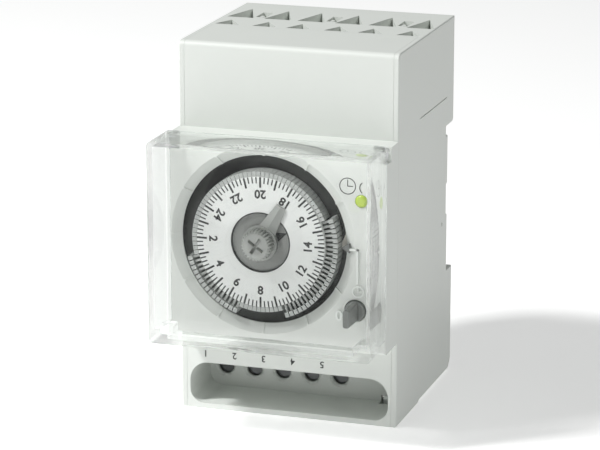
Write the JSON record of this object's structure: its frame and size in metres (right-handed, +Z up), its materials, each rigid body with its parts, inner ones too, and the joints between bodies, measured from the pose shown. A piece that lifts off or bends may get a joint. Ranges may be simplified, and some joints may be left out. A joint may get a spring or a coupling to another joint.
{
  "type": "programmable timer",
  "caption": "Modular rail-mounted timer with a day dial of captive segments, a setting hand, an override selector and a clear hinged cover.",
  "frame": {"origin": "centre of the rail seat at the back, on the plane that rests on the mounting rail", "axes": "+Z up along the device's height, +X to the right seen from the front, +Y to the back towards the rail"},
  "size_m": [0.054, 0.072, 0.0905],
  "materials": {
    "housing": "light grey moulded thermoplastic, fine matt grain",
    "cover": "clear polycarbonate, glossy",
    "pin_steel": "plain steel",
    "latch": "grey moulded plastic",
    "spring_steel": "spring steel",
    "white_plastic": "white moulded plastic",
    "segment": "off-white moulded plastic",
    "carrier": "black moulded plastic",
    "hub": "mid grey moulded plastic",
    "knob": "mid grey moulded plastic",
    "marker": "dark grey moulded plastic",
    "selector": "dark grey moulded plastic",
    "lamp_green": "clear green moulded plastic",
    "gear_plastic": "natural acetal",
    "brass": "turned brass",
    "steel_plate": "zinc-plated sheet steel",
    "copper": "enamelled copper winding",
    "magnet": "ferrite magnet",
    "board": "solder-masked glass-fibre board",
    "black_plastic": "black moulded plastic",
    "component_blue": "blue sleeved component"
  },
  "bodies": {
    "housing": {"base_housing": "housing", "front_hood": "housing", "hood_hook": "white_plastic", "cover_hinge_pins": "pin_steel", "time_marker": "marker", "chassis_plate": "steel_plate", "arbor_bush": "brass", "motion_stud": "pin_steel", "plate_screws": "pin_steel", "motor_can": "steel_plate", "motor_coil": "copper", "selector_detent": "spring_steel", "feeler_pivot": "pin_steel", "microswitch_case": "black_plastic", "microswitch_contacts": "brass", "light_pipe": "lamp_green", "status_led": "lamp_green", "circuit_board": "board", "board_posts": "black_plastic", "reserve_battery": "component_blue", "power_capacitor": "component_blue", "quartz_crystal": "steel_plate", "controller_chip": "black_plastic", "terminal_clamps": "steel_plate", "terminal_screws": "steel_plate", "terminal_bars": "brass", "latch_spring": "spring_steel"},
    "cover": {"clear_cover": "cover"},
    "latch": {"rail_latch": "latch"},
    "dial": {"dial_plate": "white_plastic", "hub_disc": "hub", "segment_carrier": "carrier", "segments_on": "segment", "segments_off": "segment", "dial_wheel": "gear_plastic"},
    "hand": {"minute_arbor": "brass", "minute_wheel": "gear_plastic", "minute_hand": "hub", "setting_knob": "knob", "arbor_clip": "pin_steel"},
    "motion": {"motion_wheel": "gear_plastic"},
    "rotor": {"motor_rotor": "magnet", "motor_pinion": "gear_plastic"},
    "selector": {"selector_knob": "selector", "selector_cam": "selector"},
    "feeler": {"feeler_lever": "gear_plastic", "microswitch_plunger": "black_plastic"},
    "segment_1": {"segment_1": "segment"},
    "segment_2": {"segment_2": "segment"},
    "segment_3": {"segment_3": "segment"},
    "segment_4": {"segment_4": "segment"},
    "segment_5": {"segment_5": "segment"},
    "segment_6": {"segment_6": "segment"},
    "segment_7": {"segment_7": "segment"},
    "segment_8": {"segment_8": "segment"}
  },
  "joints": [
    {"name": "cover_hinge", "type": "hinge", "parent": "housing", "child": "cover", "pos_m": [0, -0.052, 0.0232], "axis": [-1, 0, 0], "range_deg": [0, 95]},
    {"name": "latch_slide", "type": "slide", "parent": "housing", "child": "latch", "axis": [0, 0, -1], "range_m": [0, 0.004], "stiffness_N_per_m": 600, "springref_m": -0.002, "deforming": ["latch_spring"]},
    {"name": "dial_spin", "type": "hinge", "parent": "housing", "child": "dial", "pos_m": [-0.0032, -0.054, 0.0005], "axis": [0, -1, 0], "continuous": true},
    {"name": "hand_spin", "type": "hinge", "parent": "housing", "child": "hand", "pos_m": [-0.0032, -0.05, 0.0005], "axis": [0, -1, 0], "continuous": true},
    {"name": "motion_spin", "type": "hinge", "parent": "housing", "child": "motion", "pos_m": [0.0108, -0.047, 0.0005], "axis": [0, -1, 0], "continuous": true},
    {"name": "rotor_spin", "type": "hinge", "parent": "housing", "child": "rotor", "pos_m": [-0.0032, -0.04, 0.0145], "axis": [0, -1, 0], "continuous": true},
    {"name": "selector_turn", "type": "hinge", "parent": "housing", "child": "selector", "pos_m": [0.0196, -0.053, -0.0144], "axis": [0, -1, 0], "range_deg": [-45, 45]},
    {"name": "feeler_swing", "type": "hinge", "parent": "housing", "child": "feeler", "pos_m": [0.0188, -0.051, 0.007], "axis": [0, -1, 0], "range_deg": [0, 2]},
    {"name": "segment_1_slide", "type": "slide", "parent": "dial", "child": "segment_1", "axis": [0.9359, 0, 0.3522], "range_m": [-0.0019, 0]},
    {"name": "segment_2_slide", "type": "slide", "parent": "dial", "child": "segment_2", "axis": [0.9109, 0, 0.4127], "range_m": [0, 0.0019]},
    {"name": "segment_3_slide", "type": "slide", "parent": "dial", "child": "segment_3", "axis": [-0.9739, 0, -0.2271], "range_m": [0, 0.0019]},
    {"name": "segment_4_slide", "type": "slide", "parent": "dial", "child": "segment_4", "axis": [-0.9569, 0, -0.2903], "range_m": [-0.0019, 0]},
    {"name": "segment_5_slide", "type": "slide", "parent": "dial", "child": "segment_5", "axis": [-0.3522, 0, -0.9359], "range_m": [-0.0019, 0]},
    {"name": "segment_6_slide", "type": "slide", "parent": "dial", "child": "segment_6", "axis": [-0.2903, 0, -0.9569], "range_m": [0, 0.0019]},
    {"name": "segment_7_slide", "type": "slide", "parent": "dial", "child": "segment_7", "axis": [0.2903, 0, -0.9569], "range_m": [0, 0.0019]},
    {"name": "segment_8_slide", "type": "slide", "parent": "dial", "child": "segment_8", "axis": [0.3522, 0, -0.9359], "range_m": [-0.0019, 0]}
  ],
  "couplings": [
    {"joint": "hand_spin", "follows": "dial_spin", "ratio": 24},
    {"joint": "motion_spin", "follows": "dial_spin", "ratio": -6},
    {"joint": "rotor_spin", "follows": "dial_spin", "ratio": -144}
  ]
}
